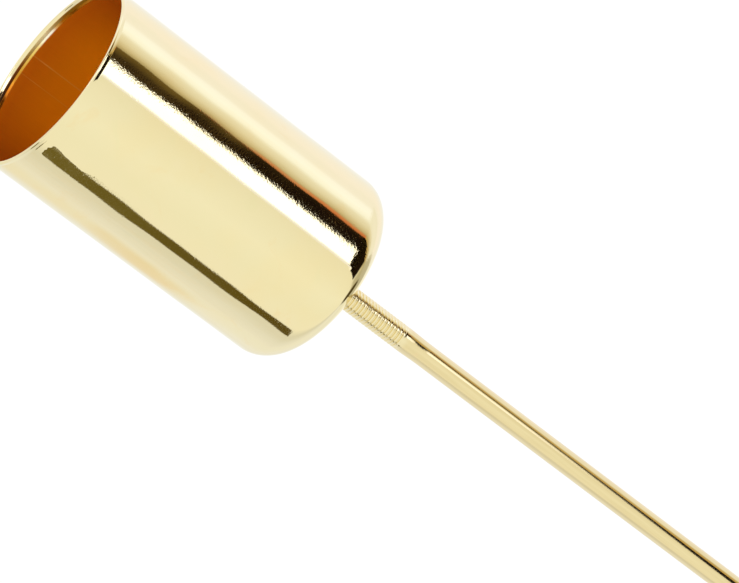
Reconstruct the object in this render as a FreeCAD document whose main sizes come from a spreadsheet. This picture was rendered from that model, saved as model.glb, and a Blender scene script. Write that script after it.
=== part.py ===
import FreeCAD, Part
import math
import os

import Sketcher

# Taper candle pick: a deep-drawn candle cup clamped between two thin nuts on the rolled thread of
# a straight pointed spike. Millimetres. +Z runs up the common axis of spike, nuts and cup; the
# origin is the tip of the spike, so the cup stands at the top.

Vector = FreeCAD.Vector
Constraint = Sketcher.Constraint
Z_AXIS = Vector(0, 0, 1)

os.makedirs("parts", exist_ok=True)
doc = FreeCAD.newDocument("candle_pick")

# ---------------------------------------------------------------- driving dimensions
# alias, value, meaning
DIMENSIONS = [
    # candle cup
    ("cup_outer_dia", 23.5, "outside diameter of the straight wall"),
    ("cup_height", 40.6, "outside of the floor to the top of the lip"),
    ("cup_wall", 0.4, "sheet thickness, wall and floor"),
    ("cup_base_radius", 3.45, "outside radius of the drawn bottom corner"),
    ("cup_flare_height", 0.6, "height of the flared band at the mouth"),
    ("cup_flare_out", 0.06, "how far the flare carries the lip outwards"),
    ("cup_hole_dia", 3.1, "hole in the floor for the thread"),
    # spike
    ("spike_length", 110.0, "tip of the point to the underside of the cup floor"),
    ("shank_dia", 2.8, "plain wire of the spike"),
    ("point_length", 9.0, "length of the ground point"),
    ("point_flat_dia", 0.5, "blunted end of the point"),
    ("rod_over_floor", 3.3, "end of the thread above the underside of the floor"),
    ("thread_below_floor", 12.3, "lower end of the thread below the floor's underside"),
    ("thread_pitch", 0.5, "M3 coarse pitch"),
    ("thread_major_dia", 2.95, "crest diameter of the rolled thread"),
    ("thread_root_dia", 2.66, "root diameter of the rolled thread"),
    ("thread_root_flat", 0.111, "axial width of the flat in the root"),
    ("thread_end_chamfer", 0.3, "chamfer on the threaded end"),
    ("thread_swell", 0.9, "length over which the wire swells to the crest diameter"),
    # nuts and washers
    ("thread_clearance", 0.045, "gap between spike and nut threads, square to the surface"),
    ("nut_across_flats", 5.5, "thin M3 hexagon nut"),
    ("nut_thickness", 1.8, "thin M3 hexagon nut"),
    ("nut_bevel", 0.32, "height of the bevel that rounds the nut's corners"),
    ("nut_face_ratio", 0.97, "diameter of the flat face inside the bevel / across flats"),
    ("nut_countersink", 0.2, "depth of the 45 degree countersinks of the nut's bore"),
    ("washer_outer_dia", 7.0, "plain M3 washer"),
    ("washer_hole_dia", 3.2, "plain M3 washer"),
    ("washer_thickness", 0.5, "plain M3 washer"),
    ("washer_edge", 0.08, "rounded edge of the stamped washer"),
    ("stack_gap", 0.02, "working gap between stacked faces"),
    # how far the cutting sections reach past the material
    ("groove_overrun", 0.04, "spike's thread groove, outside the crest"),
    ("tap_overrun", 0.03, "nut's thread groove, inside the bore"),
    ("bevel_overrun", 0.5, "nut bevels, beyond corners and faces"),
    ("drill_overrun", 0.3, "nut drill, beyond both faces"),
]

# Values worked out in the sheet from the ones above: alias, formula.
DERIVED = [
    # wire of the spike
    ("point_flat_radius", "point_flat_dia / 2"),
    ("shank_radius", "shank_dia / 2"),
    ("crest_radius", "thread_major_dia / 2"),
    ("root_radius", "thread_root_dia / 2"),
    ("thread_end_radius", "crest_radius - thread_end_chamfer"),
    ("thread_top_z", "spike_length + rod_over_floor"),
    ("thread_chamfer_z", "thread_top_z - thread_end_chamfer"),
    ("thread_start_z", "spike_length - thread_below_floor"),
    ("swell_start_z", "thread_start_z - thread_swell"),
    ("thread_length", "rod_over_floor + thread_below_floor"),
    # the spike's thread groove: a 60 degree V with a flat root
    ("groove_outer_radius", "crest_radius + groove_overrun"),
    ("groove_half_root", "thread_root_flat / 2"),
    ("groove_half_mouth", "groove_half_root + tan(30) * (groove_outer_radius - root_radius)"),
    ("groove_mid_z", "thread_start_z + thread_pitch / 2"),
    ("groove_root_low_z", "groove_mid_z - groove_half_root"),
    ("groove_root_high_z", "groove_mid_z + groove_half_root"),
    ("groove_mouth_low_z", "groove_mid_z - groove_half_mouth"),
    ("groove_mouth_high_z", "groove_mid_z + groove_half_mouth"),
    # cup, heights from the underside of its floor
    ("cup_radius", "cup_outer_dia / 2"),
    ("cup_inner_radius", "cup_radius - cup_wall"),
    ("cup_hole_radius", "cup_hole_dia / 2"),
    ("cup_floor_radius", "cup_radius - cup_base_radius"),
    ("cup_base_inner_radius", "cup_base_radius - cup_wall"),
    ("flare_rise", "cup_flare_height - cup_wall / 2"),
    ("flare_arc_outside", "(flare_rise ^ 2 + cup_flare_out ^ 2) / (2 * cup_flare_out)"),
    ("flare_arc_inside", "flare_arc_outside + cup_wall"),
    (
        "flare_start_z",
        "cup_height - cup_wall / 2 - flare_rise * (1 + cup_wall / (2 * flare_arc_outside))",
    ),
    ("lip_outer_radius", "cup_radius + cup_flare_out"),
    ("lip_outer_z", "flare_start_z + flare_rise"),
    (
        "lip_inner_radius",
        "cup_inner_radius + cup_flare_out * (1 + cup_wall / flare_arc_outside)",
    ),
    ("lip_inner_z", "flare_start_z + flare_rise * (1 + cup_wall / flare_arc_outside)"),
    # nut body and its bevels, heights from its lower face
    ("nut_corner_dia", "nut_across_flats / cos(30)"),
    ("nut_corner_radius", "nut_corner_dia / 2"),
    ("nut_face_radius", "nut_across_flats / 2 * nut_face_ratio"),
    ("bevel_outer_radius", "nut_corner_radius + bevel_overrun"),
    ("bevel_slope", "nut_bevel / (nut_corner_radius - nut_face_radius)"),
    ("under_bevel_z", "bevel_slope * (bevel_outer_radius - nut_face_radius)"),
    ("top_bevel_z", "nut_thickness - under_bevel_z"),
    ("bevel_above_z", "nut_thickness + bevel_overrun"),
    ("bevel_below_z", "-bevel_overrun"),
    # the nut's drilled hole
    ("bore_radius", "root_radius + thread_clearance"),
    ("drill_wide_radius", "bore_radius + nut_countersink + drill_overrun"),
    ("drill_below_z", "-drill_overrun"),
    ("drill_above_z", "nut_thickness + drill_overrun"),
    ("upper_sink_z", "nut_thickness - nut_countersink"),
    # the nut's thread groove: the spike's ridge opened out by the clearance
    ("tap_deep_radius", "crest_radius + thread_clearance"),
    ("tap_inner_radius", "bore_radius - tap_overrun"),
    (
        "ridge_half_crest",
        "(thread_pitch - thread_root_flat) / 2 - tan(30) * (crest_radius - root_radius)",
    ),
    ("tap_half_crest", "ridge_half_crest + thread_clearance / cos(30)"),
    ("tap_half_deep", "tap_half_crest - tan(30) * thread_clearance"),
    ("tap_half_inner", "tap_half_crest + tan(30) * (crest_radius - tap_inner_radius)"),
    ("tap_deep_high_z", "tap_half_deep - thread_pitch"),
    ("tap_deep_low_z", "-thread_pitch - tap_half_deep"),
    ("tap_inner_high_z", "tap_half_inner - thread_pitch"),
    ("tap_inner_low_z", "-thread_pitch - tap_half_inner"),
    ("tap_length", "nut_thickness + 2 * thread_pitch"),
    # the stack: lower faces of washers and nuts
    ("upper_washer_z", "spike_length + cup_wall + stack_gap"),
    ("lower_washer_z", "spike_length - stack_gap - washer_thickness"),
    ("upper_nut_z", "upper_washer_z + washer_thickness + stack_gap"),
    ("lower_nut_z", "lower_washer_z - stack_gap - nut_thickness"),
    # A ridge of the spike crosses zero angle at thread_start_z plus whole pitches; a nut's groove
    # does so at whole pitches above its lower face. A nut is in mesh when turned by the fraction
    # of a pitch that it lies above thread_start_z.
    ("upper_nut_turn", "360 / thread_pitch * mod(upper_nut_z - thread_start_z; thread_pitch)"),
    ("lower_nut_turn", "360 / thread_pitch * mod(lower_nut_z - thread_start_z; thread_pitch)"),
]

sheet = doc.addObject("Spreadsheet::Sheet", "Sizes")
rows = [(alias, str(value), words) for alias, value, words in DIMENSIONS]
rows += [(alias, "=" + formula, alias.replace("_", " ")) for alias, formula in DERIVED]
for row, (alias, content, words) in enumerate(rows, start=1):
    sheet.set("A%d" % row, words)
    sheet.set("B%d" % row, content)
    sheet.setAlias("B%d" % row, alias)
doc.recompute()


# ---------------------------------------------------------------- helpers
def size(alias):
    """One value of the sheet as a plain number; 0 stands for itself."""
    return 0.0 if alias == 0 else float(getattr(sheet, alias))


def drive(target, path, alias):
    """Bind a property to one value of the sheet."""
    target.setExpression(path, "Sizes." + alias)


def new_body(label):
    body = doc.addObject("PartDesign::Body", label)
    body.Label = label
    return body


def new_sketch(body, name, role="XZ_Plane"):
    sketch = body.newObject("Sketcher::SketchObject", name)
    plane = next(f for f in body.Origin.OriginFeatures if f.Role == role)
    sketch.AttachmentSupport = [(plane, "")]
    sketch.MapMode = "FlatFace"
    return sketch


def dimension(sketch, kind, geometry, name, alias):
    """A named dimension of the sketch, driven by the sheet."""
    number = sketch.addConstraint(Constraint(kind, *geometry, size(alias)))
    sketch.renameConstraint(number, name)
    drive(sketch, "Constraints." + name, alias)


def place_point(sketch, curve, end, x, y):
    """Fix one end of a curve by two aliases; 0 puts the point on the sketch's axis."""
    if x == 0:
        sketch.addConstraint(Constraint("PointOnObject", curve, end, -2))
    else:
        dimension(sketch, "DistanceX", (-1, 1, curve, end), "x%d" % curve, x)
    if y == 0:
        sketch.addConstraint(Constraint("PointOnObject", curve, end, -1))
    else:
        dimension(sketch, "DistanceY", (-1, 1, curve, end), "y%d" % curve, y)


def polygon_sketch(body, name, points):
    """A closed polygon in the XZ plane through points given as (radius alias, height alias)."""
    sketch = new_sketch(body, name)
    corners = [Vector(size(x), size(y), 0) for x, y in points]
    count = len(corners)
    for i in range(count):
        line = Part.LineSegment(corners[i], corners[(i + 1) % count])
        sketch.addGeometry(line, False)
    for i in range(count):
        sketch.addConstraint(Constraint("Coincident", i, 2, (i + 1) % count, 1))
    for i, (x, y) in enumerate(points):
        place_point(sketch, i, 1, x, y)
    doc.recompute()
    return sketch


def finish_cut(body, before, what):
    """Recompute, and stop if the cut took nothing away."""
    doc.recompute()
    if not 0 < body.Shape.Volume < before - 1e-6:
        raise RuntimeError("%s cut nothing from %s" % (what, body.Label))


def turn_profile(body, kind, name, sketch):
    """A full turn of the sketch about Z, as a PartDesign Revolution or Groove."""
    feature = body.newObject("PartDesign::" + kind, name)
    feature.Profile = sketch
    feature.ReferenceAxis = (sketch, ["V_Axis"])
    feature.Angle = 360.0


def turned_cut(body, name, sketch):
    before = body.Shape.Volume
    turn_profile(body, "Groove", name, sketch)
    finish_cut(body, before, name)


def thread_cut(body, name, sketch, height):
    """A right-hand helical cut of the thread pitch, upwards from the sketch."""
    before = body.Shape.Volume
    cut = body.newObject("PartDesign::SubtractiveHelix", name)
    cut.Profile = sketch
    cut.ReferenceAxis = (sketch, ["V_Axis"])
    cut.Mode = "pitch-height-angle"
    drive(cut, "Pitch", "thread_pitch")
    drive(cut, "Height", height)
    cut.Angle = 0.0
    cut.LeftHanded = False
    cut.Reversed = False
    finish_cut(body, before, name)


def pad_sketch(body, name, sketch, length):
    doc.recompute()
    pad = body.newObject("PartDesign::Pad", name)
    pad.Profile = sketch
    drive(pad, "Length", length)
    doc.recompute()
    return pad


# ---------------------------------------------------------------- the spike
def build_spike():
    """Wire with a blunted point below and a swell up to the thread blank, then the thread."""
    spike = new_body("spike_rod")
    wire = polygon_sketch(spike, "wire_profile", [
        (0, 0),
        ("point_flat_radius", 0),
        ("shank_radius", "point_length"),
        ("shank_radius", "swell_start_z"),
        ("crest_radius", "thread_start_z"),
        ("crest_radius", "thread_chamfer_z"),
        ("thread_end_radius", "thread_top_z"),
        (0, "thread_top_z"),
    ])
    turn_profile(spike, "Revolution", "wire", wire)
    doc.recompute()

    # starts half a pitch above the thread's lower end and runs out past the threaded end
    groove = polygon_sketch(spike, "thread_groove", [
        ("root_radius", "groove_root_low_z"),
        ("groove_outer_radius", "groove_mouth_low_z"),
        ("groove_outer_radius", "groove_mouth_high_z"),
        ("root_radius", "groove_root_high_z"),
    ])
    thread_cut(spike, "rolled_thread", groove, "thread_length")
    return spike


# ---------------------------------------------------------------- the candle cup
# Start of each curve of the sheet-metal outline, counter-clockwise: radius, height.
CUP_OUTLINE = [
    ("cup_hole_radius", 0),
    ("cup_floor_radius", 0),
    ("cup_radius", "cup_base_radius"),
    ("cup_radius", "flare_start_z"),
    ("lip_outer_radius", "lip_outer_z"),
    ("lip_inner_radius", "lip_inner_z"),
    ("cup_inner_radius", "flare_start_z"),
    ("cup_inner_radius", "cup_base_radius"),
    ("cup_floor_radius", "cup_wall"),
    ("cup_hole_radius", "cup_wall"),
]
# The outline's curves that are arcs; the others are straight.
CORNER_OUTSIDE, FLARE_OUTSIDE, LIP, FLARE_INSIDE, CORNER_INSIDE = 1, 3, 4, 5, 7


def build_cup():
    """Flat floor with a hole, drawn corner, straight wall, mouth flared outwards on an arc
    tangent to the wall, lip rounded over its full thickness."""
    cup = new_body("candle_cup")
    shell = new_sketch(cup, "shell_profile")
    path = [Vector(size(x), size(z), 0) for x, z in CUP_OUTLINE]
    count = len(path)
    corner_centre = Vector(size("cup_floor_radius"), size("cup_base_radius"), 0)
    flare_radius = size("flare_arc_outside")
    flare_centre = Vector(size("cup_radius") + flare_radius, size("flare_start_z"), 0)
    flare_turn = math.degrees(math.asin(size("flare_rise") / flare_radius))
    lip_centre = (path[LIP] + path[LIP + 1]) * 0.5
    arcs = {  # curve: centre, radius, first and last angle in degrees, counter-clockwise
        CORNER_OUTSIDE: (corner_centre, size("cup_base_radius"), -90, 0),
        FLARE_OUTSIDE: (flare_centre, flare_radius, 180 - flare_turn, 180),
        LIP: (lip_centre, size("cup_wall") / 2, -flare_turn, 180 - flare_turn),
        FLARE_INSIDE: (flare_centre, size("flare_arc_inside"), 180 - flare_turn, 180),
        CORNER_INSIDE: (corner_centre, size("cup_base_inner_radius"), -90, 0),
    }
    for i in range(count):
        if i in arcs:
            centre, radius, first, last = arcs[i]
            circle = Part.Circle(centre, Z_AXIS, radius)
            curve = Part.ArcOfCircle(circle, math.radians(first), math.radians(last))
        else:
            curve = Part.LineSegment(path[i], path[(i + 1) % count])
        shell.addGeometry(curve, False)

    # An arc stores its ends counter-clockwise, so the end of each curve that comes first along
    # the outline is looked up: 1 is a curve's start, 2 its end.
    first_end = []
    for i in range(count):
        curve = shell.Geometry[i]
        to_start = (curve.StartPoint - path[i]).Length
        to_end = (curve.EndPoint - path[i]).Length
        first_end.append(1 if to_start < to_end else 2)
    for i in range(count):
        following = (i + 1) % count
        joint = (i, 3 - first_end[i], following, first_end[following])
        shell.addConstraint(Constraint("Coincident", *joint))

    # the lip is a half circle: its centre lies on its own chord
    chord = count
    shell.addGeometry(Part.LineSegment(path[LIP], path[LIP + 1]), True)
    shell.addConstraint(Constraint("Coincident", chord, 1, LIP, first_end[LIP]))
    shell.addConstraint(Constraint("Coincident", chord, 2, LIP, 3 - first_end[LIP]))
    shell.addConstraint(Constraint("PointOnObject", LIP, 3, chord))

    for i, (x, z) in enumerate(CUP_OUTLINE):
        place_point(shell, i, first_end[i], x, z)
    dimension(shell, "Radius", (CORNER_OUTSIDE,), "corner_outside", "cup_base_radius")
    dimension(shell, "Radius", (CORNER_INSIDE,), "corner_inside", "cup_base_inner_radius")
    dimension(shell, "Radius", (FLARE_OUTSIDE,), "flare_outside", "flare_arc_outside")
    dimension(shell, "Radius", (FLARE_INSIDE,), "flare_inside", "flare_arc_inside")
    doc.recompute()
    turn_profile(cup, "Revolution", "drawn_shell", shell)
    drive(cup, "Placement.Base.z", "spike_length")
    doc.recompute()
    return cup


# ---------------------------------------------------------------- washers
def build_washer(label):
    """Flat ring with both edges of its outer rim rounded."""
    washer = new_body(label)
    ring = new_sketch(washer, label + "_ring", "XY_Plane")
    outer_radius = size("washer_outer_dia") / 2
    for radius in (outer_radius, size("washer_hole_dia") / 2):
        ring.addGeometry(Part.Circle(Vector(0, 0, 0), Z_AXIS, radius), False)
    for i in (0, 1):
        ring.addConstraint(Constraint("Coincident", i, 3, -1, 1))
    dimension(ring, "Diameter", (0,), "outer", "washer_outer_dia")
    dimension(ring, "Diameter", (1,), "hole", "washer_hole_dia")
    disc = pad_sketch(washer, label + "_disc", ring, "washer_thickness")

    rims = [
        "Edge%d" % number
        for number, edge in enumerate(disc.Shape.Edges, start=1)
        if isinstance(edge.Curve, Part.Circle) and abs(edge.Curve.Radius - outer_radius) < 1e-6
    ]
    rounding = washer.newObject("PartDesign::Fillet", label + "_edge")
    rounding.Base = (disc, rims)
    drive(rounding, "Radius", "washer_edge")
    washer.Tip = rounding
    drive(washer, "Placement.Base.z", label + "_z")
    doc.recompute()
    return washer


# ---------------------------------------------------------------- nuts
def hexagon_sketch(nut, label):
    """Regular hexagon on a construction circle, one corner on +X."""
    sketch = new_sketch(nut, label + "_hexagon", "XY_Plane")
    radius = size("nut_corner_radius")
    angles = [math.radians(60 * k) for k in range(6)]
    corners = [Vector(radius * math.cos(a), radius * math.sin(a), 0) for a in angles]
    for k in range(6):
        sketch.addGeometry(Part.LineSegment(corners[k], corners[(k + 1) % 6]), False)
    circle = 6
    sketch.addGeometry(Part.Circle(Vector(0, 0, 0), Z_AXIS, radius), True)
    for k in range(6):
        sketch.addConstraint(Constraint("Coincident", k, 2, (k + 1) % 6, 1))
        sketch.addConstraint(Constraint("PointOnObject", k, 1, circle))
    for k in range(5):
        sketch.addConstraint(Constraint("Equal", k, k + 1))
    sketch.addConstraint(Constraint("Coincident", circle, 3, -1, 1))
    sketch.addConstraint(Constraint("PointOnObject", 0, 1, -1))
    dimension(sketch, "Diameter", (circle,), "corners", "nut_corner_dia")
    return sketch


def build_nut(label):
    """Hexagon prism, corners bevelled on both faces, drilled, countersunk and threaded."""
    nut = new_body(label)
    pad_sketch(nut, label + "_prism", hexagon_sketch(nut, label), "nut_thickness")

    # each bevel removes the ring outside a cone
    top_bevel = polygon_sketch(nut, label + "_bevel", [
        ("nut_face_radius", "nut_thickness"),
        ("bevel_outer_radius", "top_bevel_z"),
        ("bevel_outer_radius", "bevel_above_z"),
        ("nut_face_radius", "bevel_above_z"),
    ])
    turned_cut(nut, label + "_top_bevel", top_bevel)
    under_bevel = polygon_sketch(nut, label + "_under_bevel_section", [
        ("nut_face_radius", 0),
        ("nut_face_radius", "bevel_below_z"),
        ("bevel_outer_radius", "bevel_below_z"),
        ("bevel_outer_radius", "under_bevel_z"),
    ])
    turned_cut(nut, label + "_under_bevel", under_bevel)

    # the hole and the countersinks at both its ends
    drill = polygon_sketch(nut, label + "_drill_section", [
        (0, "drill_below_z"),
        ("drill_wide_radius", "drill_below_z"),
        ("bore_radius", "nut_countersink"),
        ("bore_radius", "upper_sink_z"),
        ("drill_wide_radius", "drill_above_z"),
        (0, "drill_above_z"),
    ])
    turned_cut(nut, label + "_drill", drill)

    # starts one pitch below the lower face and ends one pitch above the upper face
    tap = polygon_sketch(nut, label + "_tap_section", [
        ("tap_deep_radius", "tap_deep_high_z"),
        ("tap_inner_radius", "tap_inner_high_z"),
        ("tap_inner_radius", "tap_inner_low_z"),
        ("tap_deep_radius", "tap_deep_low_z"),
    ])
    thread_cut(nut, label + "_internal_thread", tap, "tap_length")

    # a turn about Z has to be there before its angle can be driven
    nut.Placement = FreeCAD.Placement(Vector(0, 0, 0), FreeCAD.Rotation(Z_AXIS, 90.0))
    drive(nut, "Placement.Base.z", label + "_z")
    drive(nut, "Placement.Rotation.Angle", label + "_turn")
    doc.recompute()
    return nut


# ---------------------------------------------------------------- build and export
bodies = [build_spike(), build_cup()]
bodies += [build_washer(label) for label in ("upper_washer", "lower_washer")]
bodies += [build_nut(label) for label in ("upper_nut", "lower_nut")]
doc.recompute()

for obj in doc.Objects:
    if "Invalid" in obj.State or "Error" in obj.State:
        raise RuntimeError("%s (%s) did not recompute: %s" % (obj.Name, obj.Label, obj.State))
for body in bodies:
    shape = body.Shape
    if shape.isNull() or not shape.isValid() or len(shape.Solids) != 1:
        raise RuntimeError("%s has no single valid solid" % body.Label)
for body in bodies:
    body.Shape.exportStep(os.path.join("parts", body.Label + ".step"))
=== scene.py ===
# A brass-plated candle holder: an open cup, fastened by nuts and washers on a threaded spike.
# Its axis is Z, +Z is up, and the spike's blunt point rests at the origin. Azimuths are
# counted from -Y towards +X. Lengths are in metres.
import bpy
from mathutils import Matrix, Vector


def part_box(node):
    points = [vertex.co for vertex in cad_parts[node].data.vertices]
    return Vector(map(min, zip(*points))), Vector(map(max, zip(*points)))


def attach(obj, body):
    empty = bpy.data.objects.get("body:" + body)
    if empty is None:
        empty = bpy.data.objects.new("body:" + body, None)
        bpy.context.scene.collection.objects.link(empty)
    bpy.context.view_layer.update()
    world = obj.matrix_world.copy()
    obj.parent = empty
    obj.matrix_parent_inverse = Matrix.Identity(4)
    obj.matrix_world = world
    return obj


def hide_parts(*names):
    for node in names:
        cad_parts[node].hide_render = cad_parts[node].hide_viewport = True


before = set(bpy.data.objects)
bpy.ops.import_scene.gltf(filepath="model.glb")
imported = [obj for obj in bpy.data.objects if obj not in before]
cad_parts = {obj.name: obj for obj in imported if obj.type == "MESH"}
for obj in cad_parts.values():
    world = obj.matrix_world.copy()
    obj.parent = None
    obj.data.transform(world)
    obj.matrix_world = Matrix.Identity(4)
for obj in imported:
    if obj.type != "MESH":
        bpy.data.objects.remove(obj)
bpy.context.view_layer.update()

import math

import bpy
import numpy as np
from mathutils import Matrix, Vector

scene = bpy.context.scene
MM = 0.001
for name in ("Cube", "Light", "Camera"):  # a fresh start-up file's own objects
    if name in bpy.data.objects:
        bpy.data.objects.remove(bpy.data.objects[name])

# =============================================================== driving sizes
cup_low, cup_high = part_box("candle_cup")
FLOOR_Z = cup_low.z  # underside of the cup's floor
LIP_Z = cup_high.z
CUP_H = LIP_Z - FLOOR_Z
CUP_R = 11.75 * MM  # outside of the straight wall
WALL = 0.4 * MM
CORNER_R = 3.45 * MM  # outside of the bottom corner
FLARE_H = 0.6 * MM
FLARE_OUT = 0.06 * MM
HOLE_R = 1.55 * MM
HOLE_EDGE = 0.06 * MM  # rounding of the punched hole's edges
CUP_COLUMNS = 360

ROD_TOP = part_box("spike_rod")[1].z
MAJOR_R = 1.475 * MM  # thread crest
ROOT_R = 1.33 * MM
SHANK_R = 1.40 * MM
PITCH = 0.5 * MM
THREAD_Z = FLOOR_Z - 12.3 * MM  # lower end of the thread
SWELL_Z = THREAD_Z - 3.2 * MM  # where the wire begins to swell to the thread's size
CHAMFER = 0.3 * MM
TIP_R = 0.25 * MM
TIP_H = 0.12 * MM  # height of the blunted tip
POINT_H = 9.0 * MM  # height of the ground cone, tip included
HALF_ROOT = 0.0555 * MM  # half width of the groove's bottom
HALF_CREST = HALF_ROOT + (MAJOR_R - ROOT_R) * math.tan(math.radians(30))
ROWS_PER_PITCH = 20
ROD_COLUMNS = 64


# =============================================================== mesh helpers
def mm(*lengths):
    """Lengths in millimetres as a tuple in metres."""
    return tuple(length * MM for length in lengths)


def smooth(x):
    """Smooth step of x from 0 to 1."""
    x = np.clip(x, 0, 1)
    return x * x * (3 - 2 * x)


def make_object(name, verts, faces, shade_smooth=True):
    mesh = bpy.data.meshes.new(name)
    mesh.from_pydata([tuple(v) for v in verts], [], [tuple(f) for f in faces])
    mesh.validate()
    mesh.update()
    if shade_smooth:
        mesh.polygons.foreach_set("use_smooth", [True] * len(mesh.polygons))
    obj = bpy.data.objects.new(name, mesh)
    scene.collection.objects.link(obj)
    return obj


def turned_grid(radii, heights, columns):
    """Radius, height and azimuth of every point of a profile turned about Z."""
    azimuths = np.arange(columns) * 2 * math.pi / columns
    r, angle = np.meshgrid(radii, azimuths, indexing="ij")
    z, _ = np.meshgrid(heights, azimuths, indexing="ij")
    return r, z, angle


def grid_points(r, z, angle):
    return np.stack([r * np.sin(angle), -r * np.cos(angle), z], -1).reshape(-1, 3)


def grid_quads(rows, columns, closed):
    """Quads of a grid of rings; a closed one joins its last ring to its first."""
    i = np.arange(rows if closed else rows - 1)[:, None]
    j = np.arange(columns)[None, :]
    next_i, next_j = (i + 1) % rows, (j + 1) % columns
    corners = [(i, j), (i, next_j), (next_i, next_j), (next_i, j)]
    return np.stack([row * columns + column for row, column in corners], -1).reshape(-1, 4)


def arc(centre, radius, start, end, steps):
    """Points on an arc without its first one, angles in degrees from +r."""
    angles = np.radians(np.linspace(start, end, steps + 1)[1:])
    return [(centre[0] + radius * math.cos(a), centre[1] + radius * math.sin(a)) for a in angles]


def line(start, end, steps):
    """Points from start to end without the first one."""
    return [
        tuple(a + (b - a) * k / steps for a, b in zip(start, end)) for k in range(1, steps + 1)
    ]


# =============================================================== candle cup
def cup_profile():
    """Closed section (r, height above the floor) with the metal on its left, and a flag that
    is 1 on the inside."""
    rise = FLARE_H - WALL / 2
    flare_r = (rise * rise + FLARE_OUT * FLARE_OUT) / (2 * FLARE_OUT)
    flare_z = CUP_H - WALL / 2 - rise * (1 + WALL / (2 * flare_r))
    flare = (CUP_R + flare_r, flare_z)
    turn = math.asin(rise / flare_r)
    lip_r = flare_r + WALL / 2
    lip = (flare[0] - lip_r * math.cos(turn), flare_z + lip_r * math.sin(turn))
    turn = math.degrees(turn)
    corner = (CUP_R - CORNER_R, CORNER_R)
    hole_x = HOLE_R + HOLE_EDGE

    outer = [(hole_x, 0.0)]
    outer += line(outer[0], (corner[0], 0.0), 12)
    outer += arc(corner, CORNER_R, -90, 0, 36)
    outer += line((CUP_R, CORNER_R), (CUP_R, flare_z), 72)
    outer += arc(flare, flare_r, 180, 180 - turn, 14)
    outer += arc(lip, WALL / 2, -turn, 180 - turn, 20)

    inner = arc(flare, flare_r + WALL, 180 - turn, 180, 14)
    inner += line((CUP_R - WALL, flare_z), (CUP_R - WALL, CORNER_R), 36)
    inner += arc(corner, CORNER_R - WALL, 0, -90, 26)
    inner += line((corner[0], WALL), (hole_x, WALL), 12)

    hole = arc((hole_x, WALL - HOLE_EDGE), HOLE_EDGE, 90, 180, 5)
    hole += line((HOLE_R, WALL - HOLE_EDGE), (HOLE_R, HOLE_EDGE), 3)
    hole += arc((hole_x, HOLE_EDGE), HOLE_EDGE, 180, 270, 5)[:-1]
    inside = [0.0] * len(outer) + [1.0] * len(inner) + [0.0] * len(hole)
    return np.array(outer + inner + hole), np.array(inside, np.float32)


DENTS = [
    # azimuth (deg), height above the floor (mm), half sizes (mm), depth (um, negative stands out)
    (-34.5, 36.6, 1.5, 1.5, 1.8),
    (-38.5, 37.9, 0.9, 0.9, -5.0),
    (-37.0, 30.5, 1.6, 2.6, 2.2),
    (-38.5, 12.0, 1.2, 3.0, 1.6),
    (31.0, 36.9, 1.3, 1.0, 2.8),
    (118.0, 12.0, 2.2, 3.0, 3.0),
    (-128.0, 24.0, 2.4, 3.4, 3.2),
    (168.0, 32.0, 1.8, 2.2, 2.6),
]


def cup_wobble(r, z, angle):
    """Microns of waviness that a drawn and polished shell keeps, so that mirrored edges waver."""
    rng = np.random.RandomState(11)
    shift = np.zeros_like(r)
    for _ in range(26):
        around = rng.randint(2, 26)  # waves round the cup
        along = 2 * math.pi * rng.uniform(0.3, 5.5) / (40 * MM)  # radians per metre of height
        slope = rng.uniform(0.0006, 0.0016)
        phase = rng.uniform(0, 2 * math.pi)
        amplitude = slope / math.hypot(around / CUP_R, along)
        shift += amplitude * np.sin(around * angle + along * z + phase)
    for azimuth_deg, height, half_width, half_height, depth in DENTS:
        turn = (angle - math.radians(azimuth_deg) + math.pi) % (2 * math.pi) - math.pi
        across = turn * CUP_R / (half_width * MM)
        upward = (z - height * MM) / (half_height * MM)
        shift -= depth * 1e-6 * np.exp(-(across**2) - upward**2)
    wall = smooth((r - 9.5 * MM) / (1.8 * MM))  # fades out over the bottom corner
    lip = np.clip((CUP_H - z) / FLARE_H, 0, 1)
    return shift * wall * lip


def build_cup():
    profile, inside = cup_profile()
    r, z, angle = turned_grid(profile[:, 0], profile[:, 1], CUP_COLUMNS)
    verts = grid_points(r + cup_wobble(r, z, angle), z + FLOOR_Z, angle)
    faces = grid_quads(len(profile), CUP_COLUMNS, closed=True)
    obj = make_object("candle_cup_shell", verts, faces)
    flag = obj.data.attributes.new("inside", "FLOAT", "POINT")
    flag.data.foreach_set("value", np.repeat(inside, CUP_COLUMNS))
    return obj


cup = build_cup()
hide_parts("candle_cup")
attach(cup, "cup")

# =============================================================== spike with its rolled thread
PLAIN, THREAD, CONE = 0, 1, 2  # kinds of row; CONE is the chamfer at the top


def shoulder(distance):
    """How much the wire is eased where the ground cone meets it."""
    return 0.02 * MM * math.exp(-((distance / (0.7 * MM)) ** 2))


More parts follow.
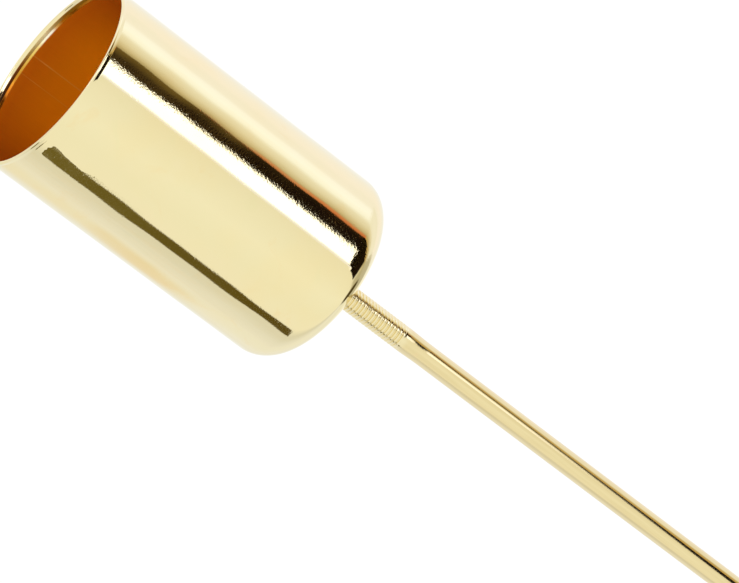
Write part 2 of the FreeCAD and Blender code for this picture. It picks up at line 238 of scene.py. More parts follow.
def spike_rows():
    """Radii, heights and kinds of the rows from the point to the top."""
    rows = []
    for a in np.linspace(0, math.pi / 2, 7)[1:]:
        rows.append((TIP_R * math.sin(a) * 0.995, TIP_H * (1 - math.cos(a)), PLAIN))
    for k in np.linspace(0, 1, 40)[1:]:
        r = TIP_R + (SHANK_R - TIP_R) * k - shoulder((1 - k) * POINT_H)
        rows.append((r, TIP_H + k * (POINT_H - TIP_H), PLAIN))
    for z in np.linspace(POINT_H, SWELL_Z, 150)[1:]:
        rows.append((SHANK_R - shoulder(z - POINT_H), z, PLAIN))
    chamfer_z = ROD_TOP - CHAMFER
    steps = int(round((chamfer_z - SWELL_Z) / (PITCH / ROWS_PER_PITCH)))
    for z in np.linspace(SWELL_Z, chamfer_z, steps + 1)[1:]:
        rows.append((MAJOR_R, z, THREAD))
    for k in np.linspace(0, 1, 13)[1:]:
        rows.append((MAJOR_R - CHAMFER * k, chamfer_z + CHAMFER * k, CONE))
    for k in (0.75, 0.5, 0.25):
        rows.append(((MAJOR_R - CHAMFER) * k, ROD_TOP, PLAIN))
    return np.array(rows).T


def cut_thread(r, z, angle, kinds):
    """Radii with the thread cut into the rows that carry it."""
    theta = angle - math.pi / 2  # counted from +X
    turns = theta / (2 * math.pi)
    # the groove's centre crosses theta = 0 half a pitch above the lower end of the thread
    phase = ((z - (THREAD_Z + PITCH / 2)) / PITCH - turns) % 1.0
    distance = np.minimum(phase, 1 - phase) * PITCH  # axial, from the groove's centre
    # rolled form: flanks blended into a rounded crest and root
    flank = np.clip((distance - HALF_ROOT) / (HALF_CREST - HALF_ROOT), 0, 1)
    flank = 0.5 * flank + 0.5 * smooth(flank)
    full = ROOT_R + (MAJOR_R - ROOT_R) * flank
    # run-out: towards the lower end the groove gets shallower and the crest falls to the wire
    run_start = THREAD_Z + 0.1 * MM
    helix = PITCH * (theta % (2 * math.pi)) / (2 * math.pi)
    run = smooth((z - run_start - helix) / (1.3 * PITCH))
    swell = smooth((z - SWELL_Z) / (THREAD_Z - SWELL_Z))
    crest = SHANK_R + (MAJOR_R - SHANK_R) * swell
    threaded = crest + (np.minimum(full, crest) - crest) * run
    # small laps and flats along the helix of a rolled crest
    lap = z / PITCH - turns
    ripple = np.sin(7.3 * lap + 3.1 * theta) * np.sin(2.1 * theta + 0.7 * lap)
    threaded += 0.006 * MM * ripple * np.clip(flank - 0.5, 0, 1) * run
    r = np.where(kinds == THREAD, threaded, r)
    return np.where(kinds == CONE, np.minimum(r, full), r)


def build_rod():
    radii, heights, kinds = spike_rows()
    r, z, angle = turned_grid(radii, heights, ROD_COLUMNS)
    r = cut_thread(r, z, angle, kinds[:, None])
    verts = np.vstack([[[0, 0, 0]], grid_points(r, z, angle), [[0, 0, ROD_TOP]]])
    faces = (grid_quads(len(radii), ROD_COLUMNS, closed=False) + 1).tolist()
    top = len(verts) - 1
    last = top - ROD_COLUMNS  # first vertex of the last ring
    for j in range(ROD_COLUMNS):
        next_j = (j + 1) % ROD_COLUMNS
        faces.append((0, 1 + next_j, 1 + j))
        faces.append((last + j, last + next_j, top))
    return make_object("spike_rod_wire", verts, faces)


rod = build_rod()
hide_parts("spike_rod")
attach(rod, "spike")


# =============================================================== shader helpers
class Graph:
    """The emptied node tree of a material or world."""

    def __init__(self, owner):
        owner.use_nodes = True
        self.tree = owner.node_tree
        self.tree.nodes.clear()

    def put(self, socket, value):
        """Link or set a socket; colours are given as three numbers."""
        if isinstance(value, Signal):
            self.tree.links.new(value.socket, socket)
        elif value is not None:
            socket.default_value = (*value, 1.0) if socket.type == "RGBA" else value

    def node(self, kind, inputs=(), output=0, **props):
        """Add a node; inputs is a list, or a dict by socket name or index."""
        node = self.tree.nodes.new(kind)
        for key, value in props.items():
            setattr(node, key, value)
        for key, value in inputs.items() if isinstance(inputs, dict) else enumerate(inputs):
            self.put(node.inputs[key], value)
        return Signal(self, node.outputs[output])

    def math(self, operation, *operands):
        return self.node("ShaderNodeMath", operands, operation=operation)

    def vec(self, x, y, z):
        return self.node("ShaderNodeCombineXYZ", (x, y, z))

    def position(self):
        return self.node("ShaderNodeTexCoord", output="Object")

    def principled(self, color, roughness, metallic=1.0, specular=0.5, normal=None):
        return self.node("ShaderNodeBsdfPrincipled", {
            "Base Color": color, "Roughness": roughness, "Metallic": metallic,
            "Specular IOR Level": specular, "Normal": normal,
        })

    def finish(self, shader, kind="ShaderNodeOutputMaterial"):
        self.put(self.tree.nodes.new(kind).inputs["Surface"], shader)


class Signal:
    """A node's output; arithmetic and methods add the nodes that work on it."""

    def __init__(self, graph, socket):
        self.graph, self.socket = graph, socket

    def math(self, operation, *others):
        return self.graph.math(operation, self, *others)

    def __add__(self, other):
        return self.math("ADD", other)

    def __sub__(self, other):
        return self.math("SUBTRACT", other)

    def __rsub__(self, other):
        return self.graph.math("SUBTRACT", other, self)

    def __mul__(self, other):
        return self.math("MULTIPLY", other)

    def ramp(self, over, to=(0.0, 1.0), shape="LINEAR"):
        """Clamped map of the range over to the range to."""
        inputs = (self, *over, *to)
        return self.graph.node("ShaderNodeMapRange", inputs, interpolation_type=shape, clamp=True)

    def step(self, over, to=(0.0, 1.0)):
        """Smooth step; over may run downwards."""
        if over[1] < over[0]:
            over, to = over[::-1], to[::-1]
        return self.ramp(over, to, shape="SMOOTHSTEP")

    def band(self, rise, fall):
        """1 between two smooth steps."""
        return self.step(rise) * self.step(fall)

    def window(self, span, soft):
        """1 within the span, falling off over the two soft widths; its ends may be signals."""
        lower = (self - span[0]).step(over=(-soft[0] / 2, soft[0] / 2))
        upper = (span[1] - self) if isinstance(span[1], Signal) else self.__rsub__(span[1])
        return lower * upper.step(over=(-soft[1] / 2, soft[1] / 2))

    def mix(self, first, second):
        """Colour from first, where this is 0, to second, where it is 1."""
        inputs = {0: self, 6: first, 7: second}
        return self.graph.node("ShaderNodeMix", inputs, output=2, data_type="RGBA")

    def lerp(self, first, second):
        """The same for plain values."""
        return self.graph.node("ShaderNodeMix", {0: self, 2: first, 3: second}, data_type="FLOAT")

    def tint(self, color, mask, strength=None):
        """This colour, covered with another one where the mask is 1."""
        return (mask if strength is None else mask * strength).mix(self, color)

    def color_ramp(self, stops):
        """Colour looked up in stops of (position, colour)."""
        ramp = self.graph.node("ShaderNodeValToRGB", [self])
        elements = ramp.socket.node.color_ramp.elements
        while len(elements) > 1:
            elements.remove(elements[-1])
        for k, (place, color) in enumerate(stops):
            element = elements[0] if k == 0 else elements.new(place)
            element.position = place
            element.color = (*color, 1.0)
        return ramp

    def noise(self, scale=1.0, detail=2.0, rough=0.5, distortion=0.0):
        return self.graph.node("ShaderNodeTexNoise", {
            "Vector": self, "Scale": scale, "Detail": detail, "Roughness": rough,
            "Distortion": distortion,
        }, output="Fac", noise_dimensions="3D")

    def bump(self, distance, normal=None):
        inputs = {"Strength": 1.0, "Distance": distance, "Height": self, "Normal": normal}
        return self.graph.node("ShaderNodeBump", inputs)

    def split(self):
        node = self.graph.node("ShaderNodeSeparateXYZ", [self]).socket.node
        return [Signal(self.graph, output) for output in node.outputs]


def new_material(name):
    material = bpy.data.materials.new(name)
    return material, Graph(material)


def azimuth(x, y):
    return x.math("ARCTAN2", y * -1.0)


def length(x, y):
    return (x * x + y * y).math("SQRT")


def stretched(angle, z, per_radian, per_metre, offset=0.0):
    """Noise coordinates with their own scales round the axis and along it."""
    return angle.graph.vec(angle * per_radian, offset, z * per_metre)


def dress(obj, material):
    obj.data.materials.clear()
    obj.data.materials.append(material)


# =============================================================== plated cup
# painted reflection and painted highlight round the mouth, as colours: azimuth in degrees from 0
# to 360, linear colour
GROOVE_PAINTED_REFLECTION = [
    (0, (0.27, 0.15, 0.008)), (60, (0.18, 0.08, 0.004)), (110, (0.28, 0.16, 0.01)),
    (149, (0.25, 0.12, 0.003)), (157, (0.50, 0.36, 0.10)), (165, (0.86, 0.78, 0.42)),
    (172, (0.66, 0.56, 0.22)), (178, (0.46, 0.34, 0.08)), (186, (0.22, 0.07, 0.002)),
    (196, (0.11, 0.03, 0.001)), (204, (0.035, 0.011, 0.001)), (240, (0.15, 0.06, 0.003)),
    (300, (0.26, 0.14, 0.007)), (360, (0.27, 0.15, 0.008)),
]
BURNISHED_LINE_PAINTED_HIGHLIGHT = [
    (0, (0.66, 0.36, 0.05)), (70, (0.70, 0.42, 0.08)), (120, (0.45, 0.18, 0.01)),
    (152, (0.26, 0.075, 0.002)), (157, (0.60, 0.35, 0.08)), (161, (1.0, 0.97, 0.76)),
    (168, (1.0, 0.95, 0.64)), (173, (0.92, 0.72, 0.24)), (178, (0.84, 0.60, 0.13)),
    (190, (0.66, 0.35, 0.035)), (203, (0.42, 0.13, 0.012)), (250, (0.50, 0.22, 0.02)),
    (300, (0.64, 0.36, 0.06)), (360, (0.66, 0.36, 0.05)),
]
DRAW_MARKS = [
    # azimuth (deg), half width (radians), strength
    (178.0, 0.010, 0.55),
    (-170.0, 0.008, 0.35),
]


def outside_tone(pos, angle, z):
    """Thin plating, a little pinker and paler in broad clouds."""
    cloud = pos.noise(scale=90.0, detail=3.0, rough=0.55)
    pale = pos.noise(scale=260.0)
    stain = stretched(angle, z, per_radian=2.6, per_metre=210.0, offset=1.0)
    stain = stain.noise(detail=4.0, rough=0.62, distortion=0.6)
    tone = cloud.step(over=(0.40, 0.66)).mix((0.895, 0.785, 0.452), (0.905, 0.775, 0.425))
    tone = tone.tint((0.915, 0.79, 0.47), pale.step(over=(0.55, 0.75)), strength=0.35)
    tone = tone.tint((0.905, 0.735, 0.385), stain.step(over=(0.56, 0.72)), strength=0.55)
    return tone.tint((0.865, 0.775, 0.430), stain.step(over=(0.42, 0.28)), strength=0.40)


def inside_tone(angle, z, depth):
    """Unpolished and lacquered: a deeper colour, with faint marks of the drawing punch, and
    painted shade where the wall turns away from the view.
    """
    graph = angle.graph
    lines = stretched(angle, z, per_radian=60.0, per_metre=18.0).noise(detail=3.0, rough=0.6)
    facing = 1.0 - graph.node("ShaderNodeLayerWeight", {"Blend": 0.5}, output="Facing")

    def lined(dark, light):
        return lines.step(over=(0.2, 0.8)).mix(dark, light)

    shallow = lined((0.62, 0.158, 0.001), (0.64, 0.168, 0.001))
    deep = lined((0.97, 0.350, 0.001), (0.99, 0.365, 0.001))
    tone = depth.ramp(over=mm(2.0, 8.5)).mix(shallow, deep)
    # painted shade: darker where the wall is seen edge-on
    edge_on_painted_shade = lined((0.45, 0.100, 0.001), (0.47, 0.107, 0.001))
    tone = facing.ramp(over=(0.42, 0.88)).mix(edge_on_painted_shade, tone)
    for degrees, width, strength in DRAW_MARKS:
        distance = (angle - math.radians(degrees)).math("ABSOLUTE")
        distance = distance.math("MINIMUM", (distance - 2 * math.pi).math("ABSOLUTE"))
        mark = distance.step(over=(width, 0.0))
        wear = graph.vec(0.0, 0.0, z * 150.0).noise().step(over=(0.35, 0.6))
        tone = tone.tint((0.9, 0.55, 0.12), mask=mark * strength, strength=wear)
    return tone


def belled_patch(angle, z, depth):
    """Mask of a very slightly belled patch of the wall under the lip, with a ragged border,
    and of a narrow tongue of it that runs 7 mm down the wall."""
    graph = angle.graph
    below_lip = mm(0.52, 0.56)
    # the patch: its lower border is a parabola about azimuth -35.5 degrees
    offset = (angle + math.radians(35.5)) * (1 / math.radians(5.5))
    nibble = graph.vec(angle * 11.0, 3.0, 0.0).noise(rough=0.6)
    reach = offset * offset * (0.50 * MM) + 1.28 * MM + (nibble - 0.5) * (1.1 * MM)
    patch = (depth - reach).step(over=mm(0.02, -0.02)) * depth.step(over=below_lip)
    patch = patch * offset.math("ABSOLUTE").step(over=(1.75, 1.55))
    # the tongue: azimuth of its ragged border in degrees, by depth
    border = depth.ramp(over=mm(2.2, 3.3), to=(-30.0, -31.2))
    border = border + depth.ramp(over=mm(3.3, 5.9), to=(0.0, -1.2))
    border = border + depth.ramp(over=mm(6.0, 7.0), to=(0.0, 1.3))
    fray = graph.vec(7.0, 0.0, z * 2600.0).noise(rough=0.6)
    border = (border + (fray - 0.5) * 0.9) * (math.pi / 180)
    tongue = (angle - border).step(over=(-0.0012, 0.0012))
    tongue = tongue * angle.step(over=(math.radians(-24.0), math.radians(-26.0)))
    tongue = tongue * depth.band(rise=below_lip, fall=mm(7.6, 7.2))
    return patch.math("MAXIMUM", tongue)


def cup_relief(pos, angle, z, depth, inside, satin, burnish_with_painted_highlight):
    """Normal of the cup's surface; bump distances are in metres."""
    graph = pos.graph
    # plating grain: tiny pits and pimples that break up mirrored edges
    grain = pos.noise(scale=5200.0, rough=0.6)
    pits = pos.noise(scale=2300.0, detail=1.0).step(over=(0.66, 0.74))
    normal = (grain + pits * -0.6).bump(distance=1.1e-6)
    # one strip of the outer wall took the plating more coarsely
    strip = angle.band(rise=(0.34, 0.42), fall=(0.56, 0.50)) * (1.0 - inside)
    orange_peel = pos.noise(scale=4300.0, detail=1.5, rough=0.6)
    normal = (orange_peel * strip).bump(distance=8.0e-6, normal=normal)
    drawn = stretched(angle, z, per_radian=90.0, per_metre=60.0).noise()
    normal = (drawn * satin).bump(distance=3.5e-6, normal=normal)
    # the burnished line and the inside of the lip are rolled over, so they face up a little
    rolled = inside * depth.band(rise=mm(0.12, 0.24), fall=mm(0.44, 0.36))
    lift = burnish_with_painted_highlight * 0.42 + rolled * 0.34
    lift = lift + belled_patch(angle, z, depth) * (1.0 - inside) * 0.024
    inputs = (graph.vec(0.0, 0.0, lift), (1.0, 1.0, 1.0), normal)
    tilted = graph.node("ShaderNodeVectorMath", inputs, operation="MULTIPLY_ADD")
    return graph.node("ShaderNodeVectorMath", [tilted], operation="NORMALIZE")


def cup_material():
    material, graph = new_material("plated_cup_brass")
    pos = graph.position()
    x, y, z = pos.split()
    angle = azimuth(x, y)
    inside = graph.node("ShaderNodeAttribute", output="Fac", attribute_name="inside")
    depth = LIP_Z - z  # below the lip
    # the satin inside begins just below the polished flare, with a dull groove left by the
    # polishing wheel and a burnished line at its top; round the mouth the groove's colours are a
    # painted reflection, dark and bright by azimuth, and the line's colours are a painted
    # highlight
    satin = inside * depth.step(over=mm(0.36, 0.42))
    groove_with_painted_reflection = inside * depth.band(rise=mm(0.36, 0.44), fall=mm(0.80, 0.70))
    burnish_with_painted_highlight = inside * depth.band(rise=mm(0.70, 0.80), fall=mm(1.14, 0.94))

    turn = (angle * (0.5 / math.pi) + 1.0).math("FRACT")
    # painted reflection in the groove and painted highlight on the burnished line, as colours by
    # azimuth
    groove_painted_reflection, bright = (
        turn.color_ramp([(degrees / 360.0, color) for degrees, color in stops])
        for stops in (GROOVE_PAINTED_REFLECTION, BURNISHED_LINE_PAINTED_HIGHLIGHT)
    )
    patch = stretched(angle, z, per_radian=9.0, per_metre=2500.0).noise(detail=3.0, rough=0.6)
    color = outside_tone(pos, angle, z).tint(inside_tone(angle, z, depth), satin)
    color = color.tint(groove_painted_reflection, groove_with_painted_reflection, strength=patch.ramp(over=(0.25, 0.5), to=(0.75, 1.0)))
    color = color.tint(bright, burnish_with_painted_highlight, strength=patch.ramp(over=(0.3, 0.6), to=(0.65, 1.0)))

    metallic = satin.ramp(over=(0.0, 1.0), to=(1.0, 0.35))
    metallic = burnish_with_painted_highlight.lerp(groove_with_painted_reflection.lerp(metallic, 0.1), 1.0)
    smudge = pos.noise(scale=140.0, detail=4.0, rough=0.6)
    polished = smudge.ramp(over=(0.35, 0.75), to=(0.035, 0.065))
    roughness = burnish_with_painted_highlight.lerp(groove_with_painted_reflection.lerp(satin.lerp(polished, 0.45), 0.5), 0.16)
    normal = cup_relief(pos, angle, z, depth, inside, satin, burnish_with_painted_highlight)
    graph.finish(graph.principled(color, roughness, metallic, specular=0.2, normal=normal))
    return material


# =============================================================== plated wire of the spike
def rod_material():
    material, graph = new_material("plated_spike_brass")
    pos = graph.position()
    x, y, z = pos.split()
    angle = azimuth(x, y)
    streak = stretched(angle, z, per_radian=3.2, per_metre=90.0).noise(detail=4.0, rough=0.6)
    spots = pos.noise(scale=900.0, detail=3.0, rough=0.6)
    thread = z.step(over=(THREAD_Z - 0.2 * MM, THREAD_Z + 0.6 * MM))
    # painted shade in the roots of the thread's grooves; the same mask also roughens them
    root_with_painted_shade = thread * length(x, y).step(over=(ROOT_R + 0.05 * MM, ROOT_R))
    point = z.step(over=mm(8.6, 1.0))
    tone = streak.step(over=(0.35, 0.65)).mix((0.815, 0.675, 0.350), (0.860, 0.720, 0.385))
    tone = tone.tint((0.90, 0.66, 0.36), spots.step(over=(0.62, 0.75)), strength=0.25)
    tone = tone.tint((0.885, 0.765, 0.44), thread)
    tone = tone.tint((0.72, 0.58, 0.30), root_with_painted_shade, strength=0.2)
    tone = tone.tint((0.80, 0.66, 0.40), point, strength=0.35)
    roughness = streak.ramp(over=(0.3, 0.7), to=(0.05, 0.085)) + point * 0.10 + root_with_painted_shade * 0.10

    # plating grain, lines along the drawn wire, and grinding rings on the point
    drawn = stretched(angle, z, per_radian=26.0, per_metre=60.0).noise()
    ground = stretched(angle, z, per_radian=2.0, per_metre=9000.0).noise()
    normal = pos.noise(scale=4200.0, rough=0.6).bump(distance=1.0e-6)
    normal = drawn.bump(distance=1.6e-6, normal=normal)
    normal = (ground * point).bump(distance=3.0e-6, normal=normal)
    graph.finish(graph.principled(tone, roughness, normal=normal))
    return material


# =============================================================== nuts and washers
def nut_material():
    material, graph = new_material("plated_nut_brass")
    pos = graph.position()
    x, y, _ = pos.split()
    radius = length(x, y)
    cloud = pos.noise(scale=700.0, detail=3.0, rough=0.6)
    tone = cloud.step(over=(0.35, 0.7)).mix((0.86, 0.70, 0.36), (0.90, 0.75, 0.42))
    # painted shade in and around the threaded bore
    bore_painted_shade = radius.step(over=mm(1.75, 1.25))
    tone = tone.tint((0.50, 0.36, 0.14), bore_painted_shade, strength=0.5)
    ring_pitch = 0.09 * MM  # turning marks
    rings = ((radius + cloud * 2.0e-5) * (2 * math.pi / ring_pitch)).math("SINE")
    inputs = {"Radius": 0.06 * MM, "Normal": rings.bump(distance=1.4e-6)}
    soft_edge = graph.node("ShaderNodeBevel", inputs, samples=4)
    roughness = cloud.ramp(over=(0.3, 0.7), to=(0.10, 0.22))
    graph.finish(graph.principled(tone, roughness, normal=soft_edge))
    return material


def washer_material():
    material, graph = new_material("plated_washer_brass")
    pos = graph.position()
    cloud = pos.noise(scale=500.0, detail=4.0, rough=0.6)
    tone = cloud.step(over=(0.35, 0.7)).mix((0.84, 0.69, 0.36), (0.90, 0.76, 0.43))
    tumbled = pos.noise(scale=2600.0, detail=3.0, rough=0.7).bump(distance=4.0e-6)
    roughness = cloud.ramp(over=(0.3, 0.7), to=(0.14, 0.28))
    graph.finish(graph.principled(tone, roughness, normal=tumbled))
    return material


dress(cup, cup_material())
dress(rod, rod_material())
for part, material in (("nut", nut_material()), ("washer", washer_material())):
    for place in ("upper", "lower"):
        dress(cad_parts[f"{place}_{part}"], material)


# =============================================================== studio floor
def floor_material():
    """Matt white; clear from underneath, so that the object can be looked at from below."""
    material, graph = new_material("studio_floor_white")
    color = graph.position().noise(scale=3.0).mix((0.93, 0.93, 0.93), (0.95, 0.95, 0.95))
    matt = graph.principled(color, roughness=0.9, metallic=0.0, specular=0.0)
    below = graph.node("ShaderNodeNewGeometry", output="Backfacing")
    clear = graph.node("ShaderNodeBsdfTransparent")
    graph.finish(graph.node("ShaderNodeMixShader", [below, matt, clear]))
    return material


bpy.ops.mesh.primitive_plane_add(size=6.0, location=(0, 0, -0.00002))
floor = bpy.context.active_object
floor.name = "studio_floor"
dress(floor, floor_material())
floor.visible_glossy = False

# =============================================================== black card
# Stands off the cup towards -Y and +X, and only shows as a reflection in the metal.
# x, y of its edges in mm
CARD_TOP = [
    (14.4, -31.2), (17.5, -29.4), (20.8, -27.0), (23.8, -23.9), (25.7, -21.6), (27.4, -19.0),
]
CARD_BOTTOM = [
    (12.3, -29.6), (15.4, -27.6), (18.6, -25.0), (21.2, -22.2), (23.2, -19.8), (24.8, -17.4),
]
CARD_TOP_Z, CARD_BOTTOM_Z = 103.4, 94.0  # mm


def build_card():
    verts = [mm(x, y, CARD_TOP_Z) for x, y in CARD_TOP]
    verts += [mm(x, y, CARD_BOTTOM_Z) for x, y in CARD_BOTTOM]
    count = len(CARD_TOP)
    faces = [(k, k + 1, k + 1 + count, k + count) for k in range(count - 1)]
    return make_object("studio_card", verts, faces, shade_smooth=False)


def card_material():
    material, graph = new_material("studio_card_black")
    fleck = graph.position().noise(scale=900.0, detail=3.0, rough=0.6)
    color = fleck.step(over=(0.52, 0.72)).mix((0.007, 0.004, 0.002), (0.060, 0.048, 0.014))
    graph.finish(graph.principled(color, roughness=0.9, metallic=0.0, specular=0.0))
    return material


card = build_card()
dress(card, card_material())
for ray in ("camera", "diffuse", "shadow", "transmission"):
    setattr(card, f"visible_{ray}", False)

# =============================================================== studio surround
# Seen directly the surround is plain white. Metal mirrors a tent of soft white sheets with two
# dark gaps and a bright slot, laid out by azimuth and elevation in degrees.
TENT = [
    # azimuth, linear colour
    (-180, (1.069, 1.069, 1.058)), (-165, (0.929, 0.951, 0.972)), (-150, (0.919, 0.935, 0.972)),
    (-138, (0.927, 0.911, 0.887)), (-126, (0.937, 0.931, 0.935)), (-112, (0.933, 0.959, 1.087)),
    (-98, (0.877, 0.907, 1.025)), (-86, (0.809, 0.828, 0.886)), (-80, (0.805, 0.820, 0.869)),
    (-66, (0.985, 0.990, 0.999)), (-40, (0.975, 0.989, 0.989)), (-12, (0.999, 1.019, 1.038)),
    (14, (0.960, 0.969, 0.960)), (30, (0.933, 0.930, 0.909)), (36, (0.929, 0.920, 0.875)),
    (48, (0.900, 0.860, 0.740)), (56, (0.800, 0.720, 0.520)), (70, (0.500, 0.420, 0.260)),
    (73, (0.683, 0.603, 0.445)), (79, (0.847, 0.809, 0.736)), (85, (0.929, 0.920, 0.924)),
    (90, (1.091, 1.154, 1.365)), (97, (1.151, 1.215, 1.520)), (104, (1.111, 1.174, 1.470)),
    (109, (1.042, 1.061, 1.259)), (117, (1.028, 1.038, 1.211)), (126, (1.060, 1.051, 1.220)),
    (140, (1.034, 1.035, 1.177)), (160, (0.977, 1.007, 1.109)), (180, (1.092, 1.081, 1.035)),
]
TENT_SCALE = 4.0  # the ramp holds colours divided by this, to keep them below 1


def ragged(azim, elev, per_azim, per_elev, offset, rough):
    """Noise over the tent, with its scales per degree."""
    return azim.graph.vec(azim * per_azim, elev * per_elev, offset).noise(detail=3.0, rough=rough)


def tent_sheets(azim):
    stops = [((a + 180) / 360, [c / TENT_SCALE for c in color]) for a, color in TENT]
    colors = azim.ramp(over=(-180.0, 180.0)).color_ramp(stops)
    inputs = {0: colors, "Scale": TENT_SCALE}
    return azim.graph.node("ShaderNodeVectorMath", inputs, operation="SCALE")


def add_slot(tent, azim, elev):
    """Bright slot: ends where the tent meets the table, with a fainter tail below it."""
    start = elev.ramp(over=(-23.8, -20.0), to=(30.6, 33.6))
    slot = azim.window(span=(start, 54.0), soft=(1.0, 0.8))
    end = elev.step(over=(-25.6, -24.7))
    tail = azim.window(span=(27.0, 42.0), soft=(4.0, 4.0))
    tail = tail * elev.window(span=(-27.6, -25.0), soft=(1.0, 0.6))
    glow = azim.window(span=(start - 2.2, start), soft=(2.0, 0.6)) * end
    tent = tent.tint((1.06, 1.10, 1.55), glow, strength=0.7)
    tent = tent.tint((2.00, 2.02, 2.30), slot * end)
    return tent.tint((1.45, 1.50, 1.90), tail, strength=0.85)


def add_gap(tent, azim, elev):
    """Dark gap: brown near the top, black lower down, with a thin red edge low on its +azimuth
    side. Below the tent's foot it leans and narrows, then opens out over the table's edge."""
    low = elev.step(over=(-24.8, -26.0))
    lean = elev.ramp(over=(-30.5, -27.0), to=(1.0, 0.0))
    wide = elev.step(over=(-31.0, -34.0))
    # azimuths of its two sides
    start = elev.ramp(over=(-23.8, -21.0), to=(47.8, 51.2))
    start = start + (ragged(azim, elev, 0.42, 19.0, offset=0.0, rough=0.65) - 0.5) * 9.0
    start = wide.lerp(start + low * 2.0 - lean * 24.0, 26.5)
    start = start - elev.step(over=(-19.6, -17.0), to=(0.0, 15.0))
    start = start + elev.step(over=(-4.0, 1.0), to=(0.0, 17.0))
    end = elev.ramp(over=(-23.8, -21.0), to=(67.6, 69.0))
    end = wide.lerp(end - low * 6.0 - lean * 6.0, 66.0)
    gap = azim.window(span=(start, end), soft=(1.3, 1.6)) * elev.step(over=(-64.0, -58.0))
    # faint just below the tent's foot
    faint = elev.band(rise=(-25.2, -26.0), fall=(-28.8, -27.9))
    gap = gap * faint.lerp(1.0, 0.78)

    blot = ragged(azim, elev, 0.75, 17.0, offset=8.0, rough=0.7)
    blot = (blot - 0.5) * elev.ramp(over=(-22.6, -20.6), to=(0.0, 2.4))
    fade = elev.ramp(over=(-22.3, -19.9)) + blot
    color = fade.mix((0.010, 0.005, 0.004), (0.066, 0.042, 0.016))
    brown = azim.step(over=(60.0, 68.0)) * elev.ramp(over=(-22.3, -20.2), to=(0.10, 1.0))
    color = color.tint((0.150, 0.100, 0.028), brown)
    color = color.tint((0.014, 0.008, 0.004), wide)

    edge_end = low.lerp(end + 1.8, 69.0)
    edge = azim.window(span=(end - 1.3, edge_end + 0.7), soft=(1.2, 2.4))
    edge = edge * elev.step(over=(-21.4, -22.6)) * elev.step(over=(-62.0, -56.0))
    red = elev.ramp(over=(-24.4, -22.6)).mix((0.70, 0.19, 0.06), (0.72, 0.27, 0.12))
    red = red.tint((0.66, 0.46, 0.17), elev.step(over=(-24.6, -26.5)))
    return tent.tint(color, gap).tint(red, edge, strength=0.85)


def add_creases(tent, azim, elev):
    """Warm and grey creases on the -X sheet."""
    crease = ragged(azim, elev, 0.55, 1.6, offset=2.0, rough=0.6)
    area = azim.window(span=(-112.0, -84.0), soft=(10.0, 5.0))
    area = area * elev.window(span=(-23.0, -15.0), soft=(1.4, 2.0))
    warm = area * crease.step(over=(0.50, 0.64))
    tent = tent.tint((0.84, 0.72, 0.60), warm, strength=0.40)
    grey = area * crease.step(over=(0.44, 0.34))
    return tent.tint((0.66, 0.67, 0.72), grey, strength=0.45)


def add_narrow_gap(tent, azim, elev):
    """Narrower olive gap on the -X side, ending near the foot of the tent."""
    end = elev.ramp(over=(-23.7, -20.0), to=(-69.7, -65.4))
    start = elev.ramp(over=(-23.7, -20.6), to=(-79.4, -81.4))
    start = start + elev.step(over=(-20.5, -19.9), to=(0.0, 1.6))
    end = end + (ragged(azim, elev, 0.2, 9.0, offset=5.0, rough=0.6) - 0.5) * 5.0
    end = end + elev.step(over=(-20.6, -20.1), to=(0.0, 4.0))
    foot = azim.ramp(over=(-80.0, -68.0), to=(-24.9, -24.3))
    gap = azim.window(span=(start, end), soft=(0.9, 0.8))
    gap = gap * elev.window(span=(foot, -19.15), soft=(0.3, 0.3))
    upper = azim.window(span=(-80.0, -67.0), soft=(1.0, 1.0))
    upper = upper * elev.window(span=(-16.0, 20.0), soft=(1.0, 8.0))
    olive = elev.ramp(over=(-23.7, -20.0)).mix((0.112, 0.081, 0.016), (0.162, 0.130, 0.032))
    return tent.tint(olive, gap.math("MAXIMUM", upper))


def add_sheet_tones(tent, azim, elev):
    """The sheet towards -X and +Y is warm higher up and whiter low down; the bright +X side
    stops at the tent's foot."""
    warm = azim.window(span=(-150.0, -120.0), soft=(14.0, 14.0))
    warm = warm * elev.window(span=(-22.15, -21.1), soft=(0.3, 0.6))
    tent = tent.tint((0.90, 0.80, 0.66), warm, strength=0.7)
    whiter = azim.window(span=(-146.0, -113.0), soft=(12.0, 12.0))
    whiter = whiter * elev.step(over=(-22.1, -22.9))
    tent = tent.tint((0.95, 0.985, 1.09), whiter, strength=0.8)
    foot = azim.window(span=(84.0, 113.0), soft=(4.0, 6.0)) * elev.step(over=(-24.2, -25.2))
    return tent.tint((0.97, 0.98, 1.06), foot, strength=0.85)


def add_table(tent, azim, elev):
    """The table, greyer towards +X and +Y."""
    table = elev.step(over=(-61.0, -68.0)) * azim.window(span=(28.0, 200.0), soft=(18.0, 1.0))
    return tent.tint((0.53, 0.51, 0.43), table, strength=0.9)


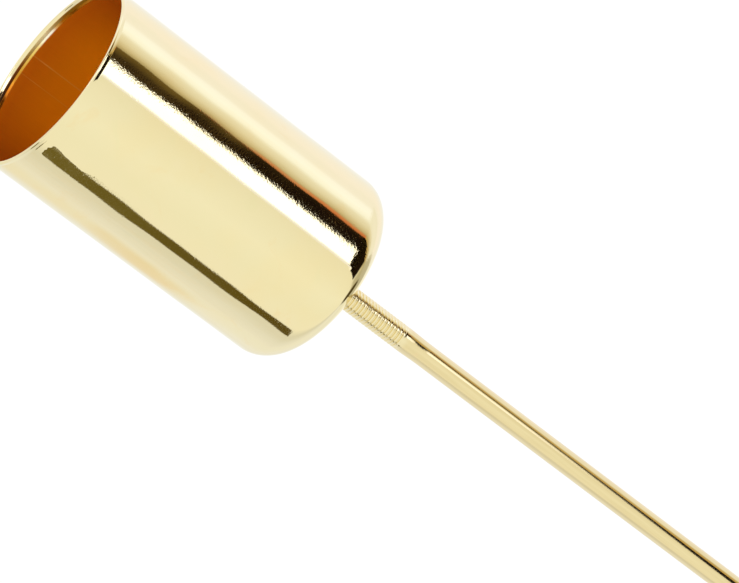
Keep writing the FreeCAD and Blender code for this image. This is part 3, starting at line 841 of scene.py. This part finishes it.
def build_world():
    world = bpy.data.worlds.new("studio")
    scene.world = world
    graph = Graph(world)
    x, y, z = graph.node("ShaderNodeTexCoord", output="Generated").split()
    to_degrees = 180 / math.pi
    azim = azimuth(x, y) * to_degrees
    elev = z.math("ARCSINE") * to_degrees
    tent = tent_sheets(azim)
    for add in (add_slot, add_gap, add_creases, add_narrow_gap, add_sheet_tones, add_table):
        tent = add(tent, azim, elev)
    # the stand's dark foot almost straight below
    foot = length(x - 0.050, y - 0.010).step(over=(0.17, 0.09))
    tent = tent.tint((0.085, 0.062, 0.016), foot * elev.step(over=(-60.0, -75.0)))

    white = graph.node("ShaderNodeRGB")
    graph.put(white.socket, (1.02, 1.02, 1.02))
    sky = graph.node("ShaderNodeLightPath", output="Is Glossy Ray").mix(white, tent)
    background = graph.node("ShaderNodeBackground", {"Color": sky, "Strength": 1.0})
    graph.finish(background, kind="ShaderNodeOutputWorld")
    world.cycles.sampling_method = "NONE"


build_world()

# =============================================================== light
# one broad soft light over the floor, so that the object has a soft shadow
light = bpy.data.lights.new("softbox", "AREA")
light.shape = "RECTANGLE"
light.size = light.size_y = 0.7
light.energy = 1.6
lamp = bpy.data.objects.new("softbox", light)
lamp.location = (-0.45, -0.35, 0.85)
lamp_aim = Vector((0, 0, 0.06))
lamp.rotation_mode = "QUATERNION"
lamp.rotation_quaternion = (lamp_aim - lamp.location).to_track_quat("-Z", "Y")
lamp.visible_glossy = False
scene.collection.objects.link(lamp)

scene.view_settings.view_transform = "Standard"
scene.view_settings.look = "None"

# =============================================================== camera
# looks towards +Y and down, rolled about its line of sight
TILT, ROLL = math.radians(24.38), math.radians(-52.90)
DISTANCE = 470.0 * MM
SHIFT_X, SHIFT_Y = mm(18.706, -11.648)  # of the eye, along the camera's own axes
TARGET = Vector((0, 0, FLOOR_Z + 18.8 * MM))

camera_data = bpy.data.cameras.new("camera")
camera = bpy.data.objects.new("camera", camera_data)
scene.collection.objects.link(camera)
camera_data.sensor_fit = "HORIZONTAL"
camera_data.sensor_width = 36.0
camera_data.lens = 207.046279
camera_data.clip_start = 0.01
camera_data.clip_end = 20.0
back = Vector((0, -math.cos(TILT), math.sin(TILT)))
right = Vector((1, 0, 0))
up = back.cross(right)
axis_x = math.cos(ROLL) * right + math.sin(ROLL) * up
axis_y = -math.sin(ROLL) * right + math.cos(ROLL) * up
eye = TARGET + back * DISTANCE + axis_x * SHIFT_X + axis_y * SHIFT_Y
rotation = Matrix((axis_x, axis_y, back)).transposed()
camera.matrix_world = Matrix.Translation(eye) @ rotation.to_4x4()
scene.camera = camera

# =============================================================== final update of the scene
bpy.context.view_layer.update()
